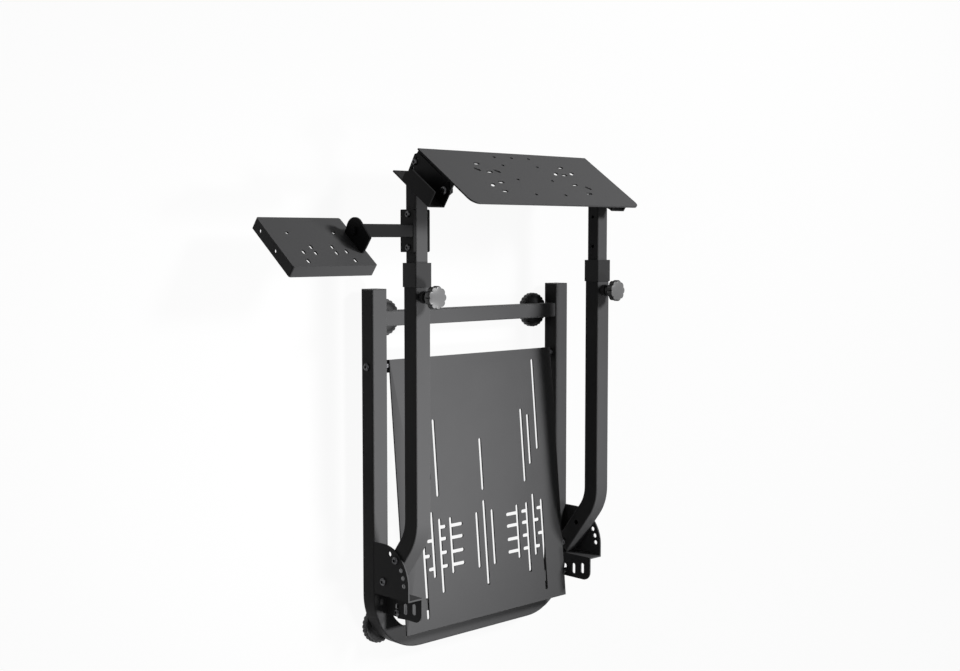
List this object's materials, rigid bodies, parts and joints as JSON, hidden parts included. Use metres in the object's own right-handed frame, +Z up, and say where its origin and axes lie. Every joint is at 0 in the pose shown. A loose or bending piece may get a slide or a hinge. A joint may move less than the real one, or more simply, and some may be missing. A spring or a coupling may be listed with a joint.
{
  "type": "racing wheel stand",
  "caption": "Folding stand for a steering wheel and pedals, with a tilting wheel board, a slotted pedal board, sliding masts and a side tray for a gear shifter.",
  "frame": {"origin": "middle of the folded stand's own box, at floor level", "axes": "+Z up; +Y along the base from its bend to the open leg ends; +X across, with the shifter tray on the -X side"},
  "size_m": [0.7084, 0.8234, 0.245],
  "materials": {
    "frame_paint": "matte black powder coat",
    "black_plastic": "satin",
    "foot_rubber": "matte",
    "bolt_steel": "dark zinc"
  },
  "bodies": {
    "base": {"base_frame": "frame_paint", "cross_bar": "frame_paint", "leg_cap_left": "black_plastic", "foot_front_left": "foot_rubber", "foot_rear_left": "foot_rubber", "hinge_bracket_left": "frame_paint", "pivot_bolt_left": "bolt_steel", "lock_bolt_left": "bolt_steel", "pedal_bolt_left": "bolt_steel", "pedal_lock_left": "bolt_steel", "leg_cap_right": "black_plastic", "foot_front_right": "foot_rubber", "foot_rear_right": "foot_rubber", "hinge_bracket_right": "frame_paint", "pivot_bolt_right": "bolt_steel", "lock_bolt_right": "bolt_steel", "pedal_bolt_right": "bolt_steel", "pedal_lock_right": "bolt_steel"},
    "pedals": {"pedal_board": "frame_paint", "pedal_rib": "frame_paint"},
    "uprights": {"upright_left": "frame_paint", "sleeve_left": "black_plastic", "upright_right": "frame_paint", "sleeve_right": "black_plastic"},
    "head": {"mast_left": "frame_paint", "head_bracket_left": "frame_paint", "tilt_bolt_left": "bolt_steel", "tilt_lock_left": "bolt_steel", "mast_right": "frame_paint", "head_bracket_right": "frame_paint", "tilt_bolt_right": "bolt_steel", "tilt_lock_right": "bolt_steel", "shifter_arm": "frame_paint", "clamp_plate": "frame_paint", "clamp_bolts": "bolt_steel"},
    "wheel_plate": {"wheel_board": "frame_paint"},
    "shifter": {"shifter_tray": "frame_paint", "tray_ear": "frame_paint"},
    "clamp_left": {"knob_left": "black_plastic"},
    "clamp_right": {"knob_right": "black_plastic"}
  },
  "joints": [
    {"name": "pedal_tilt", "type": "hinge", "parent": "base", "child": "pedals", "pos_m": [0.1214, 0.06332, 0.03], "axis": [-1, 0, 0], "range_deg": [0, 6.2]},
    {"name": "fold", "type": "hinge", "parent": "base", "child": "uprights", "pos_m": [0.1214, -0.28148, 0.0688], "axis": [1, 0, 0], "range_deg": [0, 52]},
    {"name": "height_slide", "type": "slide", "parent": "uprights", "child": "head", "axis": [0, 1, 0], "range_m": [-0.012, 0.1]},
    {"name": "wheel_tilt", "type": "hinge", "parent": "head", "child": "wheel_plate", "pos_m": [0.1214, 0.34379, 0.18152], "axis": [1, 0, 0], "range_deg": [-7, 7]},
    {"name": "shifter_tilt", "type": "hinge", "parent": "head", "child": "shifter", "pos_m": [-0.2156, 0.28232, 0.135], "axis": [1, 0, 0], "range_deg": [-30, 30]},
    {"name": "knob_turn_left", "type": "hinge", "parent": "uprights", "child": "clamp_left", "pos_m": [-0.0896, 0.17932, 0.17], "axis": [0, 0, 1], "continuous": true},
    {"name": "knob_turn_right", "type": "hinge", "parent": "uprights", "child": "clamp_right", "pos_m": [0.3324, 0.17932, 0.17], "axis": [0, 0, 1], "continuous": true}
  ]
}
